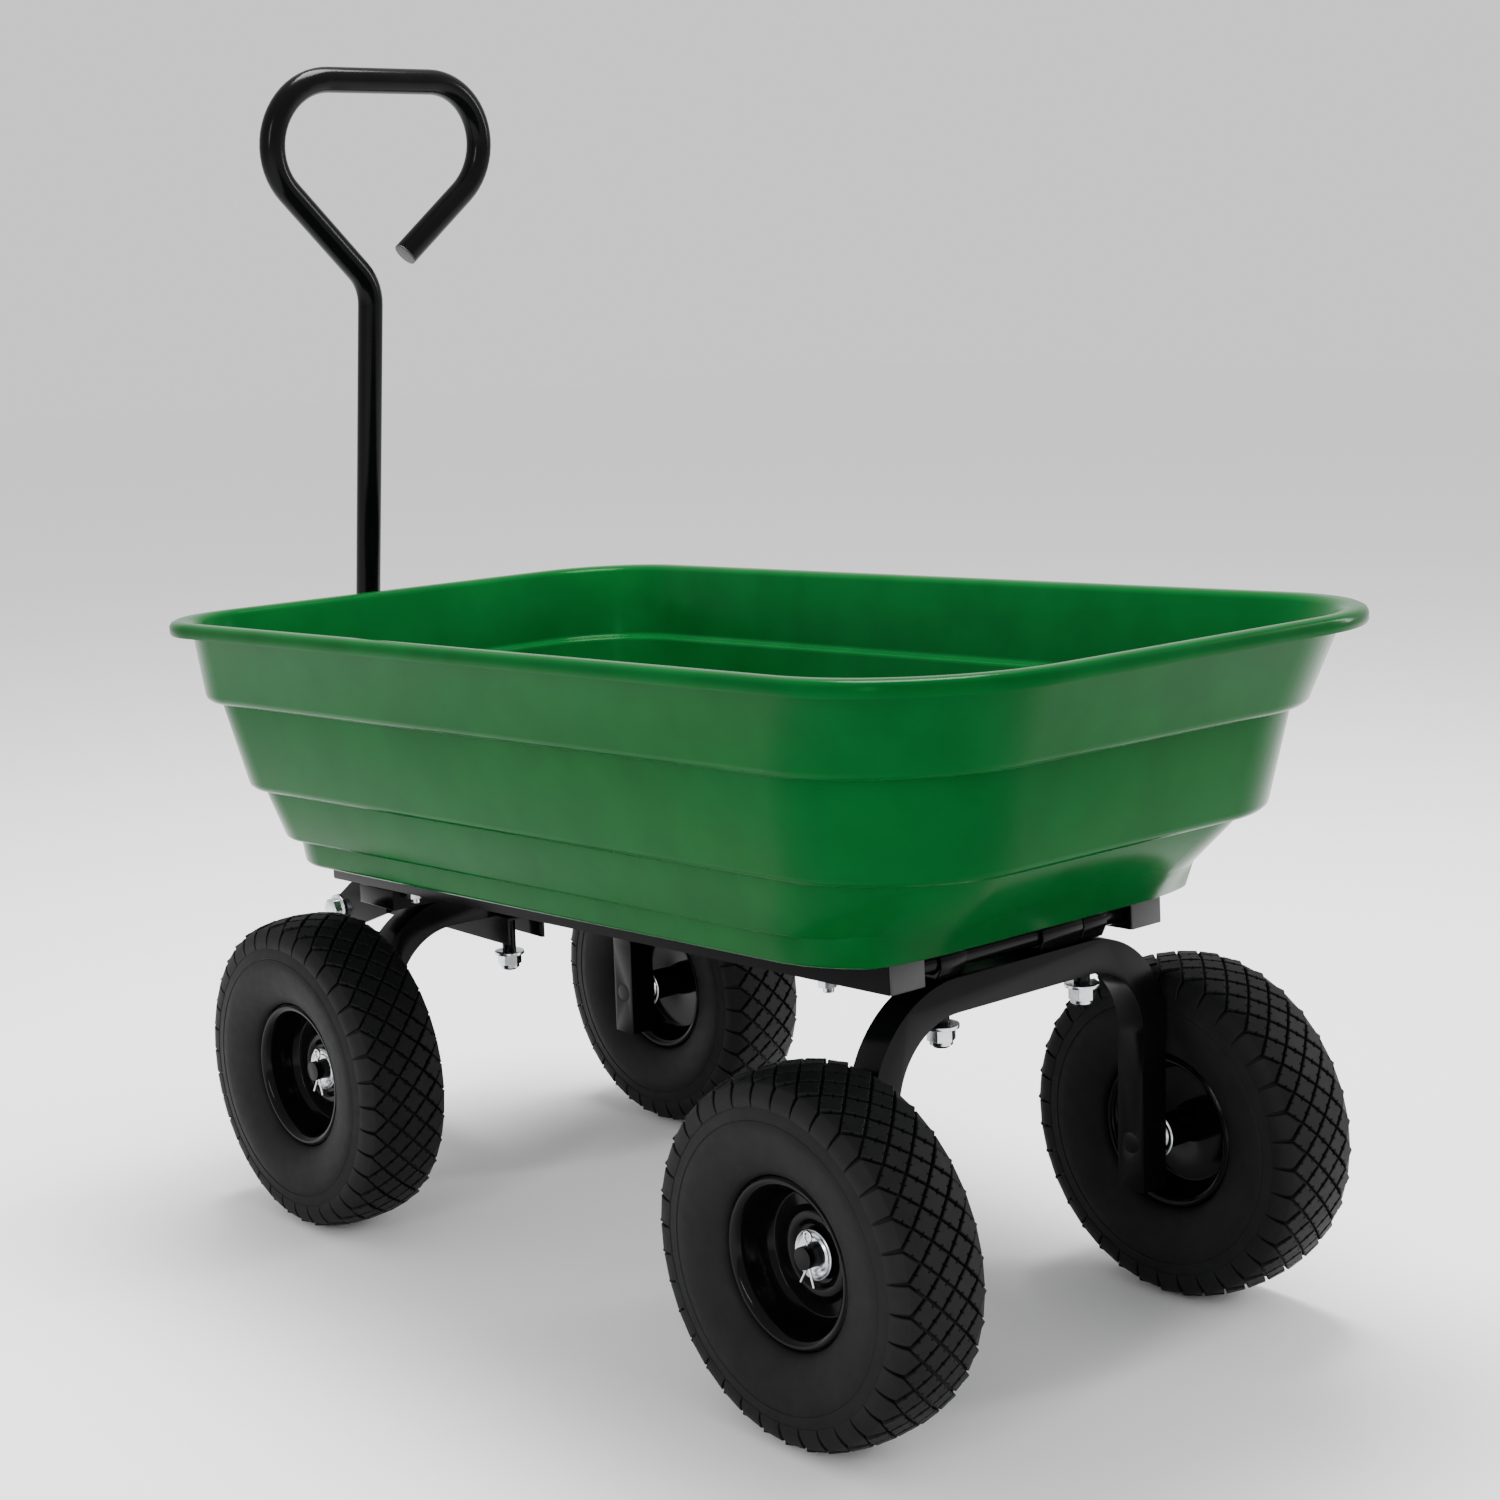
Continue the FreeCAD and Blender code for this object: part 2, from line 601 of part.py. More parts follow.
for side, sign in sides.items():
    node(beam(f"chassis_beam_{side}", sign), f"chassis_beam_{side}")


def bolster(name):
    """Cross member over the front axle; its top follows the slope of the beams."""
    body = new_body(name)
    half = "bolster_length / 2"
    crown = "bolster_height - 0.15"
    profile = outline(new_sketch(body, name + "_side", "XZ_Plane"), [
        (f"-{half}", "0"), (half, "0"), (half, f"{crown} + {half} * bed_slope"),
        (f"-{half}", f"{crown} - {half} * bed_slope"),
    ])
    pad(body, profile, "2 * bolster_half_width")
    hole = circle(new_sketch(body, name + "_hole", "XY_Plane"), "0", "0", "stud_radius")
    pocket(body, hole, "4 * bolster_height")
    return place(body, x="front_axle", z="bolster_foot")


node(bolster("front_bolster"), "front_bolster")

disc = cylinder("swivel_disc", "swivel_radius", "swivel_height")
eye = cylinder("swivel_eye", "stud_radius", "3 * swivel_height")
swivel = cut("swivel_washer", disc, eye)
node(place(swivel, x="front_axle", z="bolster_foot - swivel_height / 2"), "swivel_washer")


def rest_pads():
    pads = []
    for side, sign in sides.items():
        block = box(f"pad_block_{side}", "bolster_length / 2", "rail_width - 10", "pad_height - 0.1",
                    "-wheel_base - hinge_behind", f"{sign} * (rail_spread - 3)",
                    "-rail_height / 2 - joint_gap - (pad_height - 0.1) / 2")
        pads.append(block)
    return on_bed(group("rest_pads", pads))


node(rest_pads(), "rest_pads")


# Bed: two rails, the hinge rod, a front bar and the bolted tub

def rail(name, side):
    length = "rail_ahead + rail_behind"
    middle = "(rail_behind - rail_ahead) / 2"
    y = f"{side} * rail_spread"
    outer = box(name + "_outer", length, "rail_width", "rail_height", middle, y)
    inner = box(name + "_inner", f"{length} + 10", "rail_width - 2 * tube_wall",
                "rail_height - 2 * tube_wall", middle, y)
    rod_hole = cylinder(name + "_rod_hole", "rod_radius", "rail_width", "0",
                        f"{side} * (rail_spread - rail_width / 2)", "0", "Y")
    bar_hole = cylinder(name + "_bar_hole", "front_bar_radius", "rail_width", "-front_bar_ahead",
                        f"{side} * (rail_spread - rail_width / 2)", "0", "Y")
    bolts = [cylinder(f"{name}_bolt_hole{index}", "bolt_radius", "2 * rail_height", f"-{ahead}", y)
             for index, ahead in enumerate(("rear_bolt_ahead", "front_bolt_ahead"))]
    return on_bed(cut(name, outer, inner, rod_hole, bar_hole, *bolts))


for side, sign in sides.items():
    node(rail(f"bed_rail_{side}", sign), f"bed_rail_{side}")


def rail_caps():
    """End plugs of the rails: a flange over the tube's end and a spigot inside it."""
    caps = []
    for side, sign in sides.items():
        y = f"{sign} * rail_spread"
        for end, x, way in (("rear", "rail_behind", 1), ("front", "-rail_ahead", -1)):
            name = f"rail_cap_{side}_{end}"
            flange = box(name + "_flange", "cap_height", "rail_width", "rail_height",
                         f"{x} + {way} * cap_height / 2", y)
            spigot = box(name + "_spigot", "4", "rail_width - 2 * tube_wall",
                         "rail_height - 2 * tube_wall", f"{x} - {way} * 2", y)
            caps.append(fuse(name, flange, spigot))
    return on_bed(group("rail_end_caps", caps))


node(rail_caps(), "rail_end_caps")

rod_length = "2 * rail_spread"
node(on_bed(group("hinge_rod", [cylinder("hinge_bar", "rod_radius", rod_length, along="Y")])), "hinge_rod")
bar_length = "2 * rail_spread - rail_width + 2 * tube_wall"
front_bar = cylinder("front_bar_rod", "front_bar_radius", bar_length, "-front_bar_ahead", along="Y")
node(on_bed(group("front_cross_bar", [front_bar])), "front_cross_bar")

# The tub's sections from the rim down: level below the crest, inset at the sides and front, inset at the
# rear, plan radius of the front corners, plan radius of the rear corners
RIM = ("0", "0", "0", "rim_front_corner", "rim_rear_corner")
BANDS = [
    [("0", "lip_overhang", "lip_overhang + 3", "76", "112"), ("68.6", "19", "40", "76", "112")],
    [("68.6", "29", "52", "70", "104"), ("143", "42", "66", "70", "98")],
    [("143", "52", "82", "64", "90"), ("186", "61", "121", "64", "84")],
    [("186", "72", "121.5", "58", "84"), ("tub_depth", "75", "144", "58", "76")],
]


def tray_section(body, name, section, wall="0", lift="0"):
    """A rounded rectangle in plan, inset from the rim; wall and lift move it inwards and up."""
    level, inset, rear_inset, front_corner, rear_corner = section
    half = f"tub_half_width - ({inset}) - ({wall})"
    front = f"rim_front + ({inset}) + ({wall})"
    rear = f"tub_behind - ({rear_inset}) - ({wall})"
    near, far = f"{front_corner} - ({wall})", f"{rear_corner} - ({wall})"
    sketch = new_sketch(body, name, "XY_Plane", f"rim_top - ({level}) + ({lift})")
    return outline(sketch, [
        (f"{front} + ({near})", f"-({half})", near), (f"{rear} - ({far})", f"-({half})"),
        (rear, f"-({half}) + ({far})", far), (rear, f"{half} - ({far})"),
        (f"{rear} - ({far})", half, far), (f"{front} + ({near})", half),
        (front, f"{half} - ({near})", near), (front, f"-({half}) + ({near})"),
    ])


def tub(name):
    body = new_body(name)
    rim = tray_section(body, name + "_rim", RIM)
    slab = pad(body, rim, "lip_height", symmetric=False)
    slab.Reversed = True
    inside = ("lip_height", "tub_wall", "tub_wall",
              "rim_front_corner - tub_wall", "rim_rear_corner - tub_wall")
    pocket(body, tray_section(body, name + "_under_lip", inside), "2 * (lip_height - tub_wall)")
    for index, (top, bottom) in enumerate(BANDS):
        loft = body.newObject("PartDesign::AdditiveLoft", f"{name}_band{index}")
        loft.Profile = tray_section(body, f"{name}_band{index}_top", top)
        loft.Sections = [tray_section(body, f"{name}_band{index}_foot", bottom)]
        loft.Ruled = True
    for index, (top, bottom) in enumerate(BANDS):
        loft = body.newObject("PartDesign::SubtractiveLoft", f"{name}_hollow{index}")
        rise = "0.5" if index == 0 else "tub_wall"
        loft.Profile = tray_section(body, f"{name}_hollow{index}_top", top, "tub_wall", rise)
        loft.Sections = [tray_section(body, f"{name}_hollow{index}_foot", bottom, "tub_wall", "tub_wall")]
        loft.Ruled = True
    return body


def tub_bolt_places():
    return [(side, f"-{ahead}", f"{sign} * rail_spread") for side, sign in sides.items()
            for ahead in ("rear_bolt_ahead", "front_bolt_ahead")]


def tub_bolts():
    """Round-headed bolts from the tub's floor down through the rails."""
    bolts = []
    for index, (side, x, y) in enumerate(tub_bolt_places()):
        shank = cylinder(f"tub_bolt{index}_shank", "bolt_radius", "rail_height + tub_wall + 12", x, y,
                         "(tub_wall - 12) / 2")
        head = cylinder(f"tub_bolt{index}_head", "2.3 * bolt_radius", "3", x, y, "tub_foot + tub_wall + 1.5")
        bolts.append(fuse(f"tub_bolt{index}", shank, head))
    return on_bed(group("tub_bolts", bolts))


def tub_nuts():
    nuts = []
    for index, (side, x, y) in enumerate(tub_bolt_places()):
        flange = cylinder(f"tub_nut{index}_flange", "2.2 * bolt_radius", "1.5", z="-0.75")
        hexagon = doc.addObject("Part::Prism", f"tub_nut{index}_hexagon")
        hexagon.Polygon = 6
        bind(hexagon, Circumradius="1.85 * bolt_radius", Height="7.5")
        place(hexagon, z="-8")
        bore = cylinder(f"tub_nut{index}_bore", "bolt_radius", "30")
        blank = fuse(f"tub_nut{index}_blank", flange, hexagon)
        nuts.append(place(cut(f"tub_nut{index}", blank, bore), x=x, y=y, z="-rail_height / 2"))
    return on_bed(group("tub_nuts", nuts))


tub_shell = tub("tub_shell")
bolt_holes = [cylinder(f"tub_hole{index}", "bolt_radius", "4 * tub_wall", x, y, "tub_foot")
              for index, (side, x, y) in enumerate(tub_bolt_places())]
node(on_bed(cut("tub", tub_shell, *bolt_holes)), "tub")
node(tub_bolts(), "tub_bolts")
node(tub_nuts(), "tub_nuts")


# Tongue and clevis, welded under the front arch

def tongue(name):
    """Inverted channel that widens towards the clevis; the front edge of its web stops the handle."""
    body = new_body(name)
    front = "pivot_x - front_axle + handle_radius + 6"
    flare = "pivot_x - front_axle + 85"
    widen = "pivot_x - front_axle + 130"

    def plan(sketch, wall):
        narrow, wide = f"tongue_half_width - {wall}", f"clevis_half_width - {wall}"
        over = "1" if wall != "0" else "0"
        return outline(sketch, [
            (f"tongue_behind + {over}", f"-({narrow})"), (f"tongue_behind + {over}", narrow),
            (widen, narrow), (flare, wide),
            (f"{front} - {over}", wide), (f"{front} - {over}", f"-({wide})"),
            (flare, f"-({wide})"), (widen, f"-({narrow})"),
        ])
    outside = plan(new_sketch(body, name + "_plan", "XY_Plane"), "0")
    block = pad(body, outside, "tongue_height", symmetric=False)
    hollow = plan(new_sketch(body, name + "_hollow", "XY_Plane"), "tongue_sheet")
    pocket(body, hollow, "2 * (tongue_height - tongue_sheet)")
    hole = circle(new_sketch(body, name + "_hole", "XY_Plane"), "0", "0", "stud_radius + 0.5")
    pocket(body, hole, "4 * tongue_height")
    return place(body, x="front_axle", z="tongue_foot")


node(tongue("tongue"), "tongue")


def clevis_plate(name, side):
    body = new_body(name)
    profile = outline(new_sketch(body, name + "_side", "XZ_Plane"), [
        ("0", "1 - clevis_nose"), ("30", "1 - clevis_nose"), ("80", "8"), ("80", "28"), ("22", "28"),
        ("0", "clevis_nose - 1"),
    ])
    pad(body, profile, "clevis_plate")
    nose = cylinder(name + "_nose", "clevis_nose", "clevis_plate", along="Y")
    hole = cylinder(name + "_hole", "stud_radius", "3 * clevis_plate", along="Y")
    blank = fuse(name + "_blank", body, nose)
    y = f"{side} * (clevis_half_width + clevis_plate / 2)"
    return place(cut(name, blank, hole), x="pivot_x", y=y, z="pivot_z")


plates = [clevis_plate(f"clevis_plate_{side}", sign) for side, sign in sides.items()]
node(group("clevis_plates", plates), "clevis_plates")


def handle_bolt():
    """Flanged bolt through the clevis with its head on the left."""
    outer = "clevis_half_width + clevis_plate"
    shank = cylinder("handle_bolt_shank", "stud_radius", f"2 * ({outer}) + 14", y="7", along="Y")
    flange = cylinder("handle_bolt_flange", "nut_flange_radius", "2", y=f"-({outer}) - 1", along="Y")
    head = doc.addObject("Part::Prism", "handle_bolt_head")
    head.Polygon = 6
    bind(head, Circumradius="nut_across / 2 / cos(30)", Height="8")
    place(head, y=f"-({outer}) - 1.5")
    head.Placement.Rotation = Rotation(Vector(1, 0, 0), 90)
    return place(fuse("handle_bolt", shank, flange, head), x="pivot_x", z="pivot_z")


node(handle_bolt(), "handle_bolt")
handle_nut = flange_nut("handle_nut_blank", "0", "0", "0")
turned_nut = group("handle_nut", [handle_nut])
place(turned_nut, x="pivot_x", y="clevis_half_width + clevis_plate", z="pivot_z")
turned_nut.Placement.Rotation = Rotation(Vector(1, 0, 0), 90)
node(turned_nut, "handle_nut")


# Handle: one bent tube on a cross sleeve

def rounded_wire(corners, radii):
    """Straight runs joined by tangent arcs at the inner corners."""
    edges = []
    start = corners[0]
    for before, corner, after, radius in zip(corners, corners[1:], corners[2:], radii):
        inward = (before - corner).normalize()
        outward = (after - corner).normalize()
        half = inward.getAngle(outward) / 2
        reach = radius / math.tan(half)
        middle = (inward + outward).normalize() * (radius / math.sin(half) - radius)
        first, last = corner + inward * reach, corner + outward * reach
        edges += [Part.LineSegment(start, first).toShape(), Part.Arc(first, corner + middle, last).toShape()]
        start = last
    edges.append(Part.LineSegment(start, corners[-1]).toShape())
    return Part.Wire(edges)


def handle_tube(name):
    """Shaft, neck and open D loop, all in one plane, swept as a tube and coped over the sleeve."""
    corners = [Vector(0, 0, 0), Vector(0, 0, value("neck_height")),
               Vector(0, -value("loop_left"), value("grip_height")),
               Vector(0, value("loop_right"), value("grip_height")),
               Vector(0, value("loop_end_side"), value("loop_end_height"))]
    radii = [value("neck_bend"), value("loop_bend"), value("loop_bend")]
    path = rounded_wire(corners, radii)
    radius = value("handle_radius")
    sections = [Part.Wire(Part.makeCircle(size, Vector(), Vector(0, 0, 1)))
                for size in (radius, radius - value("tube_wall"))]
    outer, inner = (path.makePipeShell([section], True, False) for section in sections)
    sleeve_end, sleeve_way = Vector(0, -2 * radius, 0), Vector(0, 1, 0)
    sleeve = Part.makeCylinder(value("sleeve_radius"), 4 * radius, sleeve_end, sleeve_way)
    tube = doc.addObject("Part::Feature", name)
    tube.Shape = outer.cut(inner).cut(sleeve).Solids[0]
    return on_handle(tube)


node(handle_tube("handle_tube"), "handle_tube")

sleeve_length = "2 * (clevis_half_width - joint_gap)"
sleeve = cylinder("sleeve_outer", "sleeve_radius", sleeve_length, along="Y")
sleeve_bore = cylinder("sleeve_bore", "stud_radius + pivot_play", f"{sleeve_length} + 10", along="Y")
node(on_handle(cut("pivot_sleeve", sleeve, sleeve_bore)), "pivot_sleeve")


def loop_plug(name):
    """Plastic plug in the free end of the loop."""
    end = Vector(0, value("loop_end_side"), value("loop_end_height"))
    corner = Vector(0, value("loop_right"), value("grip_height"))
    way = (end - corner).normalize()
    plug = doc.addObject("Part::Feature", name)
    rim = Part.makeCylinder(value("handle_radius"), 1.5, end, way)
    spigot = Part.makeCylinder(value("handle_radius - tube_wall"), 12, end - way * 12, way)
    plug.Shape = rim.fuse(spigot).removeSplitter().Solids[0]
    return on_handle(plug)


node(loop_plug("loop_end_plug"), "loop_end_plug")

# Check and write
doc.recompute()
faults = [thing.Name for thing in doc.Objects if "Invalid" in thing.State or "Error" in thing.State]
faults += [thing.Label for thing in nodes
           if thing.Shape.isNull() or not thing.Shape.isValid() or not thing.Shape.Solids]
if faults:
    raise RuntimeError("these objects failed: " + ", ".join(faults))
if len({thing.Label for thing in nodes}) != len(nodes):
    raise RuntimeError("two nodes share a name")

os.makedirs("parts", exist_ok=True)
for thing in nodes:
    thing.Shape.exportStep(f"parts/{thing.Label}.step")
    bounds = thing.Shape.optimalBoundingBox()
    spans = [f"{low:.1f}..{high:.1f}" for low, high in (
        (bounds.XMin, bounds.XMax), (bounds.YMin, bounds.YMax), (bounds.ZMin, bounds.ZMax))]
    volume = thing.Shape.Volume / 1000
    print(f"{thing.Label}: {len(thing.Shape.Solids)} solids, {volume:.1f} cm3, " + ", ".join(spans))
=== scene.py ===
import json
import math
import bpy
import bmesh
from mathutils import Matrix, Vector


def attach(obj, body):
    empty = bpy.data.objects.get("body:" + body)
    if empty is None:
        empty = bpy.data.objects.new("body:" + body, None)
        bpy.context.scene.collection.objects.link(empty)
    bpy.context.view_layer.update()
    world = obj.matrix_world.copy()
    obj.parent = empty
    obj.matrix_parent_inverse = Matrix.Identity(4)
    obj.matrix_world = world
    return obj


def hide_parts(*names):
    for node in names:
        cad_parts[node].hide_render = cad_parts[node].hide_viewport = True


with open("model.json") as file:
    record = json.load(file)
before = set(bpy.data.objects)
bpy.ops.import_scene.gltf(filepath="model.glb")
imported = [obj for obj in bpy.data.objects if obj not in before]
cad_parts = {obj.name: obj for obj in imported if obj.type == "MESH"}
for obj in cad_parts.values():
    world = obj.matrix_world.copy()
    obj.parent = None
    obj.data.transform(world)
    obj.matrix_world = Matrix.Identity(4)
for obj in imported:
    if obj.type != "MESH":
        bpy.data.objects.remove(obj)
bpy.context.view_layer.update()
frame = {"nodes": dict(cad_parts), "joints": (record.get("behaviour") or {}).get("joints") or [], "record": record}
mm = 0.001
spots = {joint["name"]: Vector(joint["pos_m"]) for joint in frame["joints"]}
corners = ["front_left", "front_right", "rear_left", "rear_right"]
rimNormal = frame["record"]["mounts"][0]["axis"]
bedTilt = math.atan2(-rimNormal[0], rimNormal[2])  # the bed slopes down to the front
bedTurn = Matrix.Translation(spots["bed_tip"]) @ Matrix.Rotation(-bedTilt, 4, "Y")
weldGap = 0.00001  # vertices closer than this many metres are one


# Selecting and shaping

def deselectAll():
    if bpy.context.object and bpy.context.object.mode != "OBJECT":
        bpy.ops.object.mode_set(mode="OBJECT")
    bpy.ops.object.select_all(action="DESELECT")


def makeActive(piece):
    deselectAll()
    piece.select_set(True)
    bpy.context.view_layer.objects.active = piece


# kind is one of Blender's mesh primitives
def addShape(name, kind, **settings):
    deselectAll()
    getattr(bpy.ops.mesh, f"primitive_{kind}_add")(**settings)
    piece = bpy.context.object
    piece.name = piece.data.name = name
    bpy.ops.object.transform_apply()
    return piece


# Goes to edit mode with only the elements whose middle, and normal or direction, pass the test
def pick(piece, test, kind="FACE"):
    if bpy.context.object != piece or piece.mode != "EDIT":
        makeActive(piece)
        bpy.ops.object.mode_set(mode="EDIT")
    bpy.ops.mesh.select_mode(type=kind)
    bpy.ops.mesh.select_all(action="DESELECT")
    mesh = bmesh.from_edit_mesh(piece.data)
    if kind == "VERT":
        for vert in mesh.verts:
            vert.select_set(bool(test(vert.co / mm)))
    elif kind == "EDGE":
        for edge in mesh.edges:
            a, b = (vert.co for vert in edge.verts)
            edge.select_set(bool(test((a + b) / 2 / mm, (b - a).normalized())))
    else:
        for face in mesh.faces:
            face.select_set(bool(test(face.calc_center_median() / mm, face.normal)))
    mesh.select_flush_mode()
    bmesh.update_edit_mesh(piece.data)


def pickAll(piece):
    pick(piece, lambda *where: True, "VERT")


def leaveEdit():
    bpy.ops.object.mode_set(mode="OBJECT")


def move(x=0, y=0, z=0):
    bpy.ops.transform.translate(value=(x * mm, y * mm, z * mm))


def extrude(x=0, y=0, z=0):
    bpy.ops.mesh.extrude_region_move(TRANSFORM_OT_translate={"value": (x * mm, y * mm, z * mm)})


def scale(x, y, z, middle):
    bpy.ops.transform.resize(value=(x, y, z), center_override=[c * mm for c in middle])


# A wire drawn vertex by vertex, as by hand
def drawLine(name, points):
    piece = addShape(name, "plane", size=0.01)
    pickAll(piece)
    bpy.ops.mesh.merge(type="CENTER")
    start = Vector()
    for index, point in enumerate(points):
        step = (Vector(point) - start) * mm
        if index:
            bpy.ops.mesh.extrude_vertices_move(TRANSFORM_OT_translate={"value": step})
        else:
            bpy.ops.transform.translate(value=step)
        start = Vector(point)
    return piece


# Rounds the corners of a wire that pass the test
def roundCorners(piece, radius, steps, test):
    pick(piece, test, "VERT")
    bpy.ops.mesh.bevel(offset_type="OFFSET", offset=radius * mm, segments=steps, affect="VERTICES")


# Turns a wire once round the Y axis and closes the seam
def spinWire(piece, steps):
    pickAll(piece)
    bpy.ops.mesh.spin(steps=steps, angle=math.tau, center=(0, 0, 0), axis=(0, 1, 0))
    tidyMesh(piece)


def tidyMesh(piece):
    pickAll(piece)
    bpy.ops.mesh.remove_doubles(threshold=weldGap)
    bpy.ops.mesh.normals_make_consistent(inside=False)
    leaveEdit()


# Adds a modifier and applies it
def modify(piece, kind, **settings):
    makeActive(piece)
    modifier = piece.modifiers.new(kind.lower(), kind)
    for name, setting in settings.items():
        setattr(modifier, name, setting)
    bpy.ops.object.modifier_apply(modifier=modifier.name)
    return piece


def soften(piece, width, segments=3, angle=30, smooth=35):
    modify(piece, "BEVEL", width=width * mm, segments=segments, limit_method="ANGLE",
           angle_limit=math.radians(angle), harden_normals=False)
    return smoothBy(piece, smooth)


def smoothBy(piece, angle=35):
    makeActive(piece)
    bpy.ops.object.shade_smooth_by_angle(angle=math.radians(angle))
    return piece


# Moves a finished mesh, and leaves its object at the origin
def turn(piece, matrix):
    piece.matrix_world = matrix
    makeActive(piece)
    bpy.ops.object.transform_apply()
    if matrix.determinant() < 0:
        tidyMesh(piece)
    return piece


def copyOf(piece, name, matrix=Matrix()):
    twin = piece.copy()
    twin.data = piece.data.copy()
    twin.name = twin.data.name = name
    bpy.context.scene.collection.objects.link(twin)
    return turn(twin, matrix)


def joinAll(name, pieces):
    deselectAll()
    for piece in pieces:
        piece.select_set(True)
    bpy.context.view_layer.objects.active = pieces[0]
    if len(pieces) > 1:
        bpy.ops.object.join()
    joined = bpy.context.object
    joined.name = joined.data.name = name
    return joined


def shift(x=0, y=0, z=0):
    return Matrix.Translation((x * mm, y * mm, z * mm))


# Says what a finished piece rides on, its finish and the nodes it stands for
def settle(piece, body, slot, finish, *nodes):
    piece.data.materials.clear()
    piece.data.materials.append(finish)
    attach(piece, body)
    if nodes:
        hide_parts(*nodes)
    return piece


# Materials

def toLinear(hexColour):
    values = [int(hexColour[i:i + 2], 16) / 255 for i in (1, 3, 5)]
    return [v / 12.92 if v <= 0.04045 else ((v + 0.055) / 1.055) ** 2.4 for v in values] + [1]


# Adds a node, sets its fields and sockets, and links the sockets that are given outputs
def addNode(tree, kind, settings=None, **links):
    node = tree.nodes.new(kind)
    for name, setting in (settings or {}).items():
        if name in node.inputs:
            node.inputs[name].default_value = setting
        else:
            setattr(node, name, setting)
    for name, output in links.items():
        tree.links.new(output, node.inputs[name.replace("_", " ")])
    return node


def startMaterial(name, **settings):
    material = bpy.data.materials.new(name)
    material.use_nodes = True
    tree = material.node_tree
    shader = tree.nodes["Principled BSDF"]
    for socket, setting in settings.items():
        shader.inputs[socket.replace("_", " ")].default_value = setting
    place = addNode(tree, "ShaderNodeTexCoord").outputs["Object"]
    return material, tree, shader, place


# A fine bump whose grain is size mm across and height mm high
def addGrain(tree, shader, place, size, height, detail):
    noise = addNode(tree, "ShaderNodeTexNoise", {"Scale": 1 / (size * mm), "Detail": detail},
                    Vector=place)
    bump = addNode(tree, "ShaderNodeBump", {"Strength": 1, "Distance": height * mm},
                   Height=noise.outputs["Fac"])
    tree.links.new(bump.outputs[0], shader.inputs["Normal"])


# Slow drift between two close colours
def varyColour(tree, shader, place, size, first, second):
    noise = addNode(tree, "ShaderNodeTexNoise", {"Scale": 1 / (size * mm), "Detail": 4},
                    Vector=place)
    ramp = addNode(tree, "ShaderNodeValToRGB", Fac=noise.outputs["Fac"])
    for stop, spot, colour in zip(ramp.color_ramp.elements, (0.35, 0.65), (first, second)):
        stop.position, stop.color = spot, toLinear(colour)
    tree.links.new(ramp.outputs["Color"], shader.inputs["Base Color"])


def varyRoughness(tree, shader, place, size, low, high):
    noise = addNode(tree, "ShaderNodeTexNoise", {"Scale": 1 / (size * mm), "Detail": 5},
                    Vector=place)
    spread = addNode(tree, "ShaderNodeMapRange", {"To Min": low, "To Max": high},
                     Value=noise.outputs["Fac"])
    tree.links.new(spread.outputs[0], shader.inputs["Roughness"])


def mouldedPolyethylene():
    # injection moulded HDPE: glossy skin with a slow ripple that softens the edges of reflections
    material, tree, shader, place = startMaterial(
        "mouldedPolyethylene", IOR=1.53, Specular_IOR_Level=0.06, Specular_Tint=toLinear("#5fd884"))
    varyColour(tree, shader, place, 60, "#06451a", "#084c1e")
    varyRoughness(tree, shader, place, 25, 0.17, 0.25)
    addGrain(tree, shader, place, 9, 0.02, 2)
    return material


def glossPaint(name, colour, roughness):
    # powder coat on steel: deep black, sharp highlights broken by faint orange peel
    material, tree, shader, place = startMaterial(name, IOR=1.5, Specular_IOR_Level=0.09)
    varyColour(tree, shader, place, 40, colour[0], colour[1])
    varyRoughness(tree, shader, place, 15, roughness, roughness + 0.1)
    addGrain(tree, shader, place, 2.4, 0.012, 2)
    return material


def tyreRubber():
    # foamed tyre with a moulded skin: matt, slightly dusty black, with a fine mould texture
    material, tree, shader, place = startMaterial(
        "tyreRubber", IOR=1.52, Specular_IOR_Level=0.14)
    varyColour(tree, shader, place, 20, "#0b0b0c", "#101011")
    varyRoughness(tree, shader, place, 8, 0.55, 0.7)
    addGrain(tree, shader, place, 0.9, 0.05, 4)
    return material


def zincPlate():
    # bright zinc over turned steel: cool silver with soft turned lines
    material, tree, shader, place = startMaterial("zincPlate", Metallic=1)
    varyColour(tree, shader, place, 5, "#c4c8cc", "#dadcdf")
    varyRoughness(tree, shader, place, 2, 0.16, 0.32)
    addGrain(tree, shader, place, 0.6, 0.012, 3)
    return material


def plainPlastic(name, colour, roughness):
    # moulded PE or nylon, left as it comes out of the tool: satin with a spark-eroded grain
    material, tree, shader, place = startMaterial(name, IOR=1.5)
    varyColour(tree, shader, place, 12, colour[0], colour[1])
    varyRoughness(tree, shader, place, 6, roughness, roughness + 0.12)
    addGrain(tree, shader, place, 0.7, 0.03, 3)
    return material


finishes = {
    "tub_plastic": mouldedPolyethylene(),
    "frame_paint": glossPaint("blackPowderCoat", ("#060607", "#09090a"), 0.14),
    "rim_paint": glossPaint("blackRimEnamel", ("#050506", "#080809"), 0.08),
    "tyre_rubber": tyreRubber(),
    "zinc_plate": zincPlate(),
    "bearing_steel": zincPlate(),
    "cap_plastic": plainPlastic("blackPolyethylene", ("#161617", "#1c1c1e"), 0.42),
    "nylon": plainPlastic("blackNylon", ("#26262a", "#2c2c30"), 0.4),
    "pad_rubber": plainPlastic("blackRubber", ("#121213", "#171718"), 0.6),
}
finishes["bearing_steel"].name = "groundSteel"
slotOf = {part["node"]: part["material_slot"] for part in frame["record"]["subparts"]}
for name, thing in frame["nodes"].items():
    thing.data.materials.clear()
    thing.data.materials.append(finishes[slotOf[name]])
print("materials ready")


# Tub: modelled on the bed's own axes, from the rim inwards and down

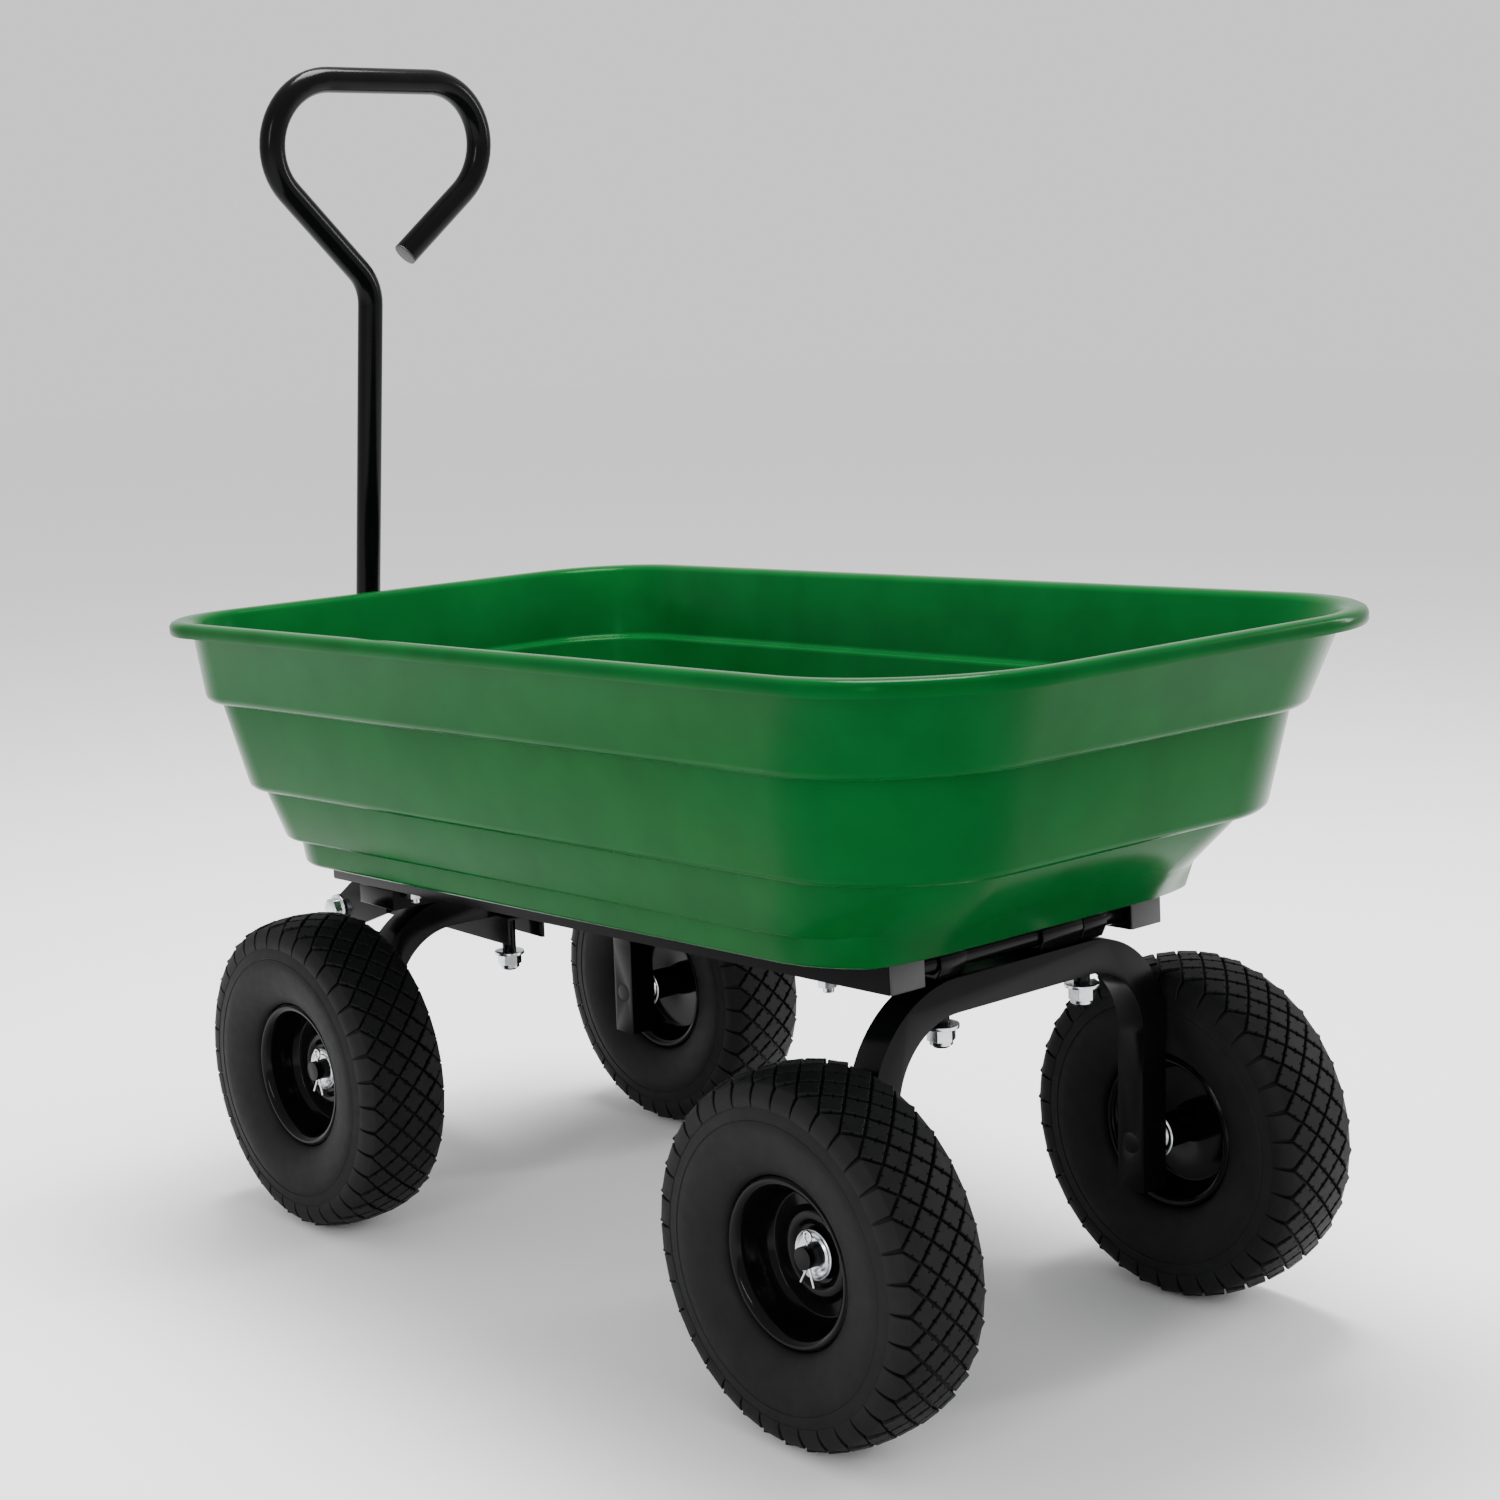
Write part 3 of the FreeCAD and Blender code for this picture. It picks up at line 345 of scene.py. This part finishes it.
tubSizes = {
    "front": -758.6, "rear": 178, "half": 259.7, "crest": 219.9, "wall": 4,
    "frontCorner": 86, "rearCorner": 128, "cornerSteps": 18, "lipEdge": 0.7, "lipDrop": 11.4,
    "ledgeRound": 3.4, "ledgeSteps": 3, "floorRound": 2.4,
}
# inset at the sides and front, inset at the rear, depth
tubRim = [(0, 0, 9.6), (0, 0, 4.2), (1.2, 1.2, 1.6), (4, 4, 0), (10.5, 10.5, 0),
          (14.6, 14.6, 1.4), (17, 17, 5)]
# depth, insets above and below, the same two at the rear
tubLedges = [(64.6, 23, 33, 44, 56), (139, 46, 56, 70, 86)]
tubFoot = {
    "depth": 182, "above": 67.5, "below": 76.5, "rear": 127, "lip": 0.3,
    "end": 31, "taper": 38, "shares": 4, "floorDepth": 204.4, "floor": 79, "floorRear": 149,
}
panelSizes = {
    "length": 193, "height": 49, "sheet": 2.4, "round": 0.7,
    "middle": -300, "depth": 103, "inset": 39.4, "proud": -0.9, "lean": 9.9,
}


# Rings of (side inset, rear inset, depth) that round off both corners of each full ledge
def ledgeRings():
    rings = []
    r, steps = tubSizes["ledgeRound"], tubSizes["ledgeSteps"]
    bends = [(1 - math.cos(math.pi / 2 * step / steps), 1 - math.sin(math.pi / 2 * step / steps))
             for step in range(steps + 1)]
    for depth, above, below, rearAbove, rearBelow in tubLedges:
        rings += [(above + r * out, rearAbove + r * out, depth - r * rise) for out, rise in bends]
        rings += [(below - r * back, rearBelow - r * back, depth + r * fall)
                  for fall, back in bends]
    return rings + [(tubFoot["above"], tubFoot["rear"], tubFoot["depth"])]


# The lowest step runs along the sides and front, and tapers away in the rear corners
def addLowestStep(tub, front, rear, half):
    s, foot = tubSizes, tubFoot
    lip, taper, shares = foot["lip"], foot["taper"], foot["shares"]
    stepEnd = rear - foot["end"]
    stepHalf = cornerHalf = half
    rings = [(lip, foot["below"], foot["above"] + lip, foot["rear"] + lip),
             (foot["floorDepth"] - foot["depth"] - lip, foot["floor"], foot["floor"],
              foot["floorRear"])]
    for fall, stepInset, cornerInset, cornerRear in rings:
        extrude(z=-fall)
        verts = bmesh.from_edit_mesh(tub.data).verts
        height = next(vert.co.z for vert in verts if vert.select) / mm

        def pickRing(low=-math.inf, high=math.inf):
            pick(tub, lambda spot: abs(spot.z - height) < 0.01 and low <= spot.x < high, "VERT")

        newStep, newCorner = s["half"] - stepInset, s["half"] - cornerInset
        for share in range(shares + 1):
            part = share / shares
            low = stepEnd - taper * (1 - (share - 1) / shares) if share else -math.inf
            high = stepEnd - taper * (1 - part) if part < 1 else math.inf
            pickRing(low, high)
            wasHalf = stepHalf + (cornerHalf - stepHalf) * part
            scale(1, (newStep + (newCorner - newStep) * part) / wasHalf, 1, (0, 0, 0))
        newFront, newRear = s["front"] + stepInset, s["rear"] - cornerRear
        pickRing(high=stepEnd)
        scale((stepEnd - newFront) / (stepEnd - front), 1, 1, (stepEnd, 0, 0))
        pickRing(low=stepEnd)
        scale((newRear - stepEnd) / (rear - stepEnd), 1, 1, (stepEnd, 0, 0))
        stepHalf, cornerHalf, front, rear = newStep, newCorner, newFront, newRear
        pickRing()


def makePanel():
    # a faint raised panel on the second band of the left side, left blank
    s = panelSizes
    panel = addShape("panel", "cube", size=1,
                     scale=(s["length"] * mm, s["sheet"] * mm, s["height"] * mm))
    soften(panel, s["round"], 2)
    place = shift(s["middle"], s["proud"] + s["sheet"] / 2 - tubSizes["half"] + s["inset"],
                  tubSizes["crest"] - s["depth"])
    return turn(panel, place @ Matrix.Rotation(math.radians(s["lean"]), 4, "X"))


def makeTub():
    s = tubSizes
    length, middle = s["rear"] - s["front"], (s["rear"] + s["front"]) / 2
    tub = addShape("tubShell", "plane", size=1)
    pickAll(tub)
    scale(length * mm, 2 * s["half"] * mm, 1, (0, 0, 0))
    move(middle, 0, s["crest"] - s["lipDrop"])
    for corner, way in ((s["frontCorner"], -1), (s["rearCorner"], 1)):
        pick(tub, lambda spot: spot.x * way > 0, "VERT")
        bpy.ops.mesh.bevel(offset_type="OFFSET", offset=corner * mm, segments=s["cornerSteps"],
                           affect="VERTICES")
    pick(tub, lambda spot, normal: True)
    bpy.ops.mesh.delete(type="ONLY_FACE")

    pickAll(tub)
    front, rear = s["front"] + s["lipEdge"], s["rear"] - s["lipEdge"]
    half, level = s["half"] - s["lipEdge"], s["lipDrop"]
    scale((rear - front) / length, half / s["half"], 1, (middle, 0, 0))
    for inset, rearInset, depth in tubRim + ledgeRings():
        newFront, newRear = s["front"] + inset, s["rear"] - rearInset
        newHalf = s["half"] - inset
        extrude(z=level - depth)
        scale((newRear - newFront) / (rear - front), newHalf / half, 1,
              ((front + rear) / 2, 0, 0))
        move(((newFront + newRear) - (front + rear)) / 2)
        front, rear, half, level = newFront, newRear, newHalf, depth
    addLowestStep(tub, front, rear, half)
    bpy.ops.mesh.edge_face_add()
    tidyMesh(tub)
    modify(tub, "BEVEL", width=s["floorRound"] * mm, segments=3, limit_method="ANGLE",
           angle_limit=math.radians(42))
    modify(tub, "SOLIDIFY", thickness=s["wall"] * mm, offset=-1)
    smoothBy(tub, 40)
    return turn(joinAll("tubShell", [tub, makePanel()]), bedTurn)


tub = makeTub()
settle(tub, "bed", "tub_plastic", finishes["tub_plastic"], "tub")
print("tub ready")


# Tyre: a turned carcass with rows of diamond blocks

tyreSizes = {
    "pitches": 36, "pitchRadius": 128, "turns": 108, "groove": 1.9, "block": 3.6, "notch": 1.1,
    "top": 0.45, "topInset": 0.5, "lugWidth": 0.41, "lugSheet": 3, "lugPoint": (24.6, 127.1),
    "crown": [(0, 129.9), (11.3, 129.3), (22.6, 127.9)], "tilt": [0, 0.075, 0.2],
}
# distance from the middle plane, radius
lugPath = [(33.2, 123.6), (35.6, 120.2), (37.4, 116.2), (38.3, 112.2), (38.2, 108)]
# radius, distance from the middle plane
carcassPath = [
    (53.7, 24), (60.2, 24.1), (60.9, 28.2), (63.5, 31), (68, 33.6), (76, 36.8), (85, 38.7),
    (92, 39.3), (98.8, 39.1), (99.6, 38.6), (100.4, 39.2), (101.4, 39), (104, 38.6),
    (108, 37.9), (113, 36.2), (117.5, 33.4), (121, 30), (123.8, 25), (125.4, 17), (126.3, 9),
    (126.7, 0)]


# A square tread block standing on its corner, with one small notch in each side
def makeBlock(side):
    n = tyreSizes["notch"]
    half = side / 2
    edge = [(half, -half), (half, -n / 2), (half - n, -n / 2), (half - n, n / 2), (half, n / 2)]
    points = []
    for quarter in range(4):
        c, s = math.cos(quarter * math.pi / 2), math.sin(quarter * math.pi / 2)
        points += [(x * c - y * s, x * s + y * c, 0) for x, y in edge]
    block = drawLine("block", points)
    pickAll(block)
    bpy.ops.mesh.edge_face_add()
    extrude(z=tyreSizes["block"])
    bpy.ops.mesh.inset(thickness=tyreSizes["topInset"] * mm)
    move(z=tyreSizes["top"])
    tidyMesh(block)
    return turn(block, Matrix.Rotation(math.radians(45), 4, "Z"))


# A shoulder lug: its point lies between two blocks and its foot sinks into the sidewall
def makeLug(step):
    s = tyreSizes
    wide = step * s["lugWidth"]
    lug = drawLine("lug", [(0, *s["lugPoint"]), (wide, *lugPath[0]), (-wide, *lugPath[0])])
    pickAll(lug)
    bpy.ops.mesh.edge_face_add()
    pick(lug, lambda spot, way: abs(way.x) > 0.9, "EDGE")
    for (y, z), (newY, newZ) in zip(lugPath, lugPath[1:]):
        extrude(y=newY - y, z=newZ - z)
    tidyMesh(lug)
    if lug.data.polygons[0].normal.z < 0:
        pickAll(lug)
        bpy.ops.mesh.flip_normals()
        leaveEdit()
    modify(lug, "SOLIDIFY", thickness=s["lugSheet"] * mm, offset=-1)
    return soften(lug, 0.5, 1, 30, 30)


def makeTyre():
    s = tyreSizes
    points = [(0, -y, r) for r, y in carcassPath]
    points += [(0, y, r) for r, y in reversed(carcassPath[:-1])]
    carcass = drawLine("tyreCarcass", points)
    spinWire(carcass, s["turns"])
    smoothBy(carcass, 40)
    step = math.tau * s["pitchRadius"] / s["pitches"]
    blocks = []
    for row in range(-2, 3):
        y, radius = s["crown"][abs(row)]
        block = makeBlock(step / math.sqrt(2) - s["groove"])
        side = -1 if row < 0 else 1
        tilt = Matrix.Rotation(-side * s["tilt"][abs(row)], 4, "X")
        around = Matrix.Rotation(math.pi / s["pitches"] * (row % 2), 4, "Y")
        foot = shift(0, side * y, radius - s["block"] - s["top"])
        blocks.append(turn(block, around @ foot @ tilt))
    for side in (-1, 1):
        around = Matrix.Rotation(math.pi / s["pitches"], 4, "Y")
        blocks.append(turn(makeLug(step), around @ Matrix.Scale(side, 4, (0, 1, 0))))
    tread = joinAll("tyreTread", blocks)
    pickAll(tread)
    copies = s["pitches"] - 1
    bpy.ops.mesh.spin(steps=copies, angle=math.tau * copies / s["pitches"],
                      center=(0, 0, 0), axis=(0, 1, 0), dupli=True)
    leaveEdit()
    smoothBy(tread, 25)
    return joinAll("tyre", [carcass, tread])


tyre = makeTyre()
print("tyre ready")


# Rims: two pressed discs back to back, the outer one deep dished with a ring round the hub

rimSizes = {"sheet": 2, "steps": 72, "bend": 1.4, "edge": 0.6}
# radius, distance from the wheel's middle plane
outerRimPath = [(59.2, 23.6), (59.2, 26.2), (57.2, 27.4), (54, 26), (51.8, 22), (48, 4),
                (44.5, -2), (33, -2), (29.6, 1.2), (24.4, 1.2), (21, -2), (13.5, -2)]
innerRimPath = [(59.2, -23.6), (59.2, -26.2), (57.2, -27.4), (54, -26), (51.8, -22), (48, -9),
                (44.5, -4.2), (13.5, -4.2)]


def makeDisc(name, points):
    disc = drawLine(name, [(0, y, r) for r, y in points])
    leaveEdit()
    ends = (Vector((0, points[0][1], points[0][0])), Vector((0, points[-1][1], points[-1][0])))
    roundCorners(disc, rimSizes["bend"], 4,
                 lambda spot: all((spot - end).length > 0.1 for end in ends))
    spinWire(disc, rimSizes["steps"])
    modify(disc, "SOLIDIFY", thickness=rimSizes["sheet"] * mm, offset=0)
    return soften(disc, rimSizes["edge"], 2, 50, 40)


outerRim = makeDisc("rimOuter", outerRimPath)
innerRim = makeDisc("rimInner", innerRimPath)

# Hub tube with rounded ends
hubSizes = {"bore": 11.5, "radius": 13.5, "outer": 0.5, "inner": -38.5, "edge": 0.5, "steps": 48}
hubTube = drawLine("hubTube", [(0, hubSizes[end], hubSizes[side]) for end, side in (
    ("outer", "bore"), ("outer", "radius"), ("inner", "radius"), ("inner", "bore"))])
spinWire(hubTube, hubSizes["steps"])
soften(hubTube, hubSizes["edge"], 2, 50, 40)
wheelParts = [(tyre, "tyre", "tyre_rubber"), (outerRim, "rim_outer", "rim_paint"),
              (innerRim, "rim_inner", "rim_paint"), (hubTube, "hub", "rim_paint")]


# From a wheel's own axes, with Y outwards, to its place on the cart
def atWheel(corner):
    spot = spots["spin_" + corner]
    return Matrix.Translation(spot) @ Matrix.Rotation(0 if spot.y > 0 else math.pi, 4, "Z")


for corner in corners:
    for part, label, slot in wheelParts:
        wheelPiece = copyOf(part, f"{part.name}_{corner}", atWheel(corner))
        settle(wheelPiece, "wheel_" + corner, slot, finishes[slot], f"wheel_{corner}_{label}")
for part, label, slot in wheelParts:
    bpy.data.objects.remove(part)
print("wheels ready")


# Steel and small parts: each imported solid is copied, merged and given rounded edges

edgeRounds = {  # radius of the outer edges in millimetres
    "rear_axle_arch": 3.2, "front_axle_arch": 3.2, "chassis_beam_left": 2,
    "chassis_beam_right": 2, "bed_rail_left": 2.2, "bed_rail_right": 2.2, "rail_end_caps": 1,
    "hinge_rod": 1, "front_cross_bar": 1, "hinge_shoes": 1.2, "hinge_strap": 1.2,
    "front_bolster": 2.2, "swivel_washer": 0.5, "rest_pads": 0.3, "tongue": 1,
    "clevis_plates": 0.7, "handle_bolt": 0.6, "handle_nut": 0.6, "pivot_sleeve": 0.6,
    "handle_tube": 0.5, "loop_end_plug": 0.5, "axle_studs": 0.8, "axle_nuts": 0.6,
    "king_stud": 0.8, "king_nut": 0.6, "front_stub_axles": 1.2, "rear_stub_axles": 1.2,
    "tub_bolts": 0.5, "tub_nuts": 0.5,
}
roundSizes = {"weld": 0.000005, "flat": 0.4, "steps": 3, "corner": 40, "smooth": 32}
bodies = frame["record"]["behaviour"]["bodies"]
bodyOf = {node: body for body, nodes in bodies.items() for node in nodes}


def roundNode(node, radius):
    source = frame["nodes"][node]
    piece = bpy.data.objects.new(node + "_rounded", source.data.copy())
    piece.data.name = piece.name
    bpy.context.scene.collection.objects.link(piece)
    pickAll(piece)
    bpy.ops.mesh.remove_doubles(threshold=roundSizes["weld"])
    bpy.ops.mesh.dissolve_limited(angle_limit=math.radians(roundSizes["flat"]))
    leaveEdit()
    soften(piece, radius, roundSizes["steps"], roundSizes["corner"], roundSizes["smooth"])
    return settle(piece, bodyOf[node], slotOf[node], finishes[slotOf[node]], node)


for node, radius in edgeRounds.items():
    roundNode(node, radius)
print("steel parts ready")


# Cup washers and split pins at the four axle ends

# washerPath: distance out from the wheel's middle plane, radius
washerSizes = {"sheet": 1.3, "steps": 40, "edge": 0.25, "outer": 0.9, "inner": -38.9}
washerPath = [(1.2, 8), (1.2, 11.2), (0.2, 12.4), (0.2, 14.6), (0.9, 16), (2, 17), (2.6, 17.7)]
pinSizes = {"wire": 1.15, "out": 8}
pinPath = [(-5.4, -20.5), (-1.6, -9.5), (-1, -6), (-1, 9.6), (-2.6, 11.4), (-3.5, 14),
           (-2.6, 16.6), (0, 17.8), (2.6, 16.6), (3.5, 14), (2.6, 11.4), (1, 9.6), (1, -6),
           (1.9, -9.5), (7.6, -19.5)]


def makeWasher():
    washer = drawLine("cupWasher", [(0, *spot) for spot in washerPath])
    spinWire(washer, washerSizes["steps"])
    modify(washer, "SOLIDIFY", thickness=washerSizes["sheet"] * mm, offset=0)
    return soften(washer, washerSizes["edge"], 2, 50, 30)


def makePin():
    pin = drawLine("splitPin", [(x, 0, z) for x, z in pinPath])
    leaveEdit()
    bpy.ops.object.convert(target="CURVE")
    pin = bpy.context.object
    pin.data.bevel_depth, pin.data.bevel_resolution = pinSizes["wire"] * mm, 2
    pin.data.use_fill_caps = True
    bpy.ops.object.convert(target="MESH")
    return smoothBy(bpy.context.object, 50)


washer, pin = makeWasher(), makePin()
for end, body in (("front", "front_axle"), ("rear", "chassis")):
    pins, cups = [], []
    for corner in corners:
        if corner.startswith(end):
            place = atWheel(corner)
            pins.append(copyOf(pin, "pin", place @ shift(0, pinSizes["out"], 0)))
            outside = place @ shift(0, washerSizes["outer"], 0)
            inside = place @ shift(0, washerSizes["inner"], 0)
            cups.append(copyOf(washer, "cup", outside))
            cups.append(copyOf(washer, "cup", inside @ Matrix.Scale(-1, 4, (0, 1, 0))))
    zinc = finishes["zinc_plate"]
    settle(joinAll(end + "_split_pins", pins), body, "zinc_plate", zinc, end + "_cotter_pins")
    settle(joinAll(end + "_cup_washers", cups), body, "zinc_plate", zinc,
           end + "_axle_washers")
for spare in (washer, pin):
    bpy.data.objects.remove(spare)
print("axle ends ready")


# Floor, light and camera

stageSizes = {"floor": 24, "drop": -0.0005, "glow": 1.0}
floorPlane = addShape("floorPlane", "plane", size=stageSizes["floor"],
                      location=(0, 0, stageSizes["drop"]))
floorPaint, tree, shader, place = startMaterial("paleFloor", Roughness=0.9)
shader.inputs["Base Color"].default_value = toLinear("#fdfdfd")
floorPlane.data.materials.append(floorPaint)

world = bpy.data.worlds.new("studio")
bpy.context.scene.world = world
world.use_nodes = True
background = world.node_tree.nodes["Background"]
background.inputs["Color"].default_value = (1, 1, 1, 1)
background.inputs["Strength"].default_value = stageSizes["glow"]

# each softbox: where it stands, what it faces, its size in metres and its watts
softboxes = {
    "softboxAbove": ((-0.3, 0.3, 2.7), (0, 0, 0), (1.3, 1.0), 160),
    "softboxLeft": ((1.15, -2.7, 1.25), (0.2, 0, 0.4), (0.3, 1.3), 26),
    "softboxRight": ((1.3, 2.7, 1.3), (0.3, 0, 0.4), (0.3, 1.3), 34),
}


def addLight(name, spot, target, size, power):
    light = bpy.data.lights.new(name, "AREA")
    light.shape = "RECTANGLE"
    light.size, light.size_y = size
    light.energy = power
    lamp = bpy.data.objects.new(name, light)
    bpy.context.scene.collection.objects.link(lamp)
    lamp.location = spot
    lamp.rotation_euler = (Vector(target) - Vector(spot)).to_track_quat("-Z", "Y").to_euler()


for name, settings in softboxes.items():
    addLight(name, *settings)

cameraSizes = {"spot": (1.6131, -1.3430, 0.7895), "yaw": 49.136, "pitch": 10.415,
               "roll": -1.665, "lens": 64.9, "sensor": 36}


def makeCamera():
    s = cameraSizes
    camera = bpy.data.objects.new("camera", bpy.data.cameras.new("camera"))
    bpy.context.scene.collection.objects.link(camera)
    camera.data.lens = s["lens"]
    camera.data.sensor_width = s["sensor"]
    yaw, pitch, roll = (math.radians(s[name]) for name in ("yaw", "pitch", "roll"))
    level = math.cos(pitch)
    back = Vector((math.sin(yaw) * level, -math.cos(yaw) * level, math.sin(pitch)))
    right = (-back).cross(Vector((0, 0, 1))).normalized()
    up = right.cross(-back)
    across = math.cos(roll) * right + math.sin(roll) * up
    upward = -math.sin(roll) * right + math.cos(roll) * up
    camera.matrix_world = Matrix((
        (across.x, upward.x, back.x, s["spot"][0]), (across.y, upward.y, back.y, s["spot"][1]),
        (across.z, upward.z, back.z, s["spot"][2]), (0, 0, 0, 1)))
    bpy.context.scene.camera = camera


makeCamera()
print("done")
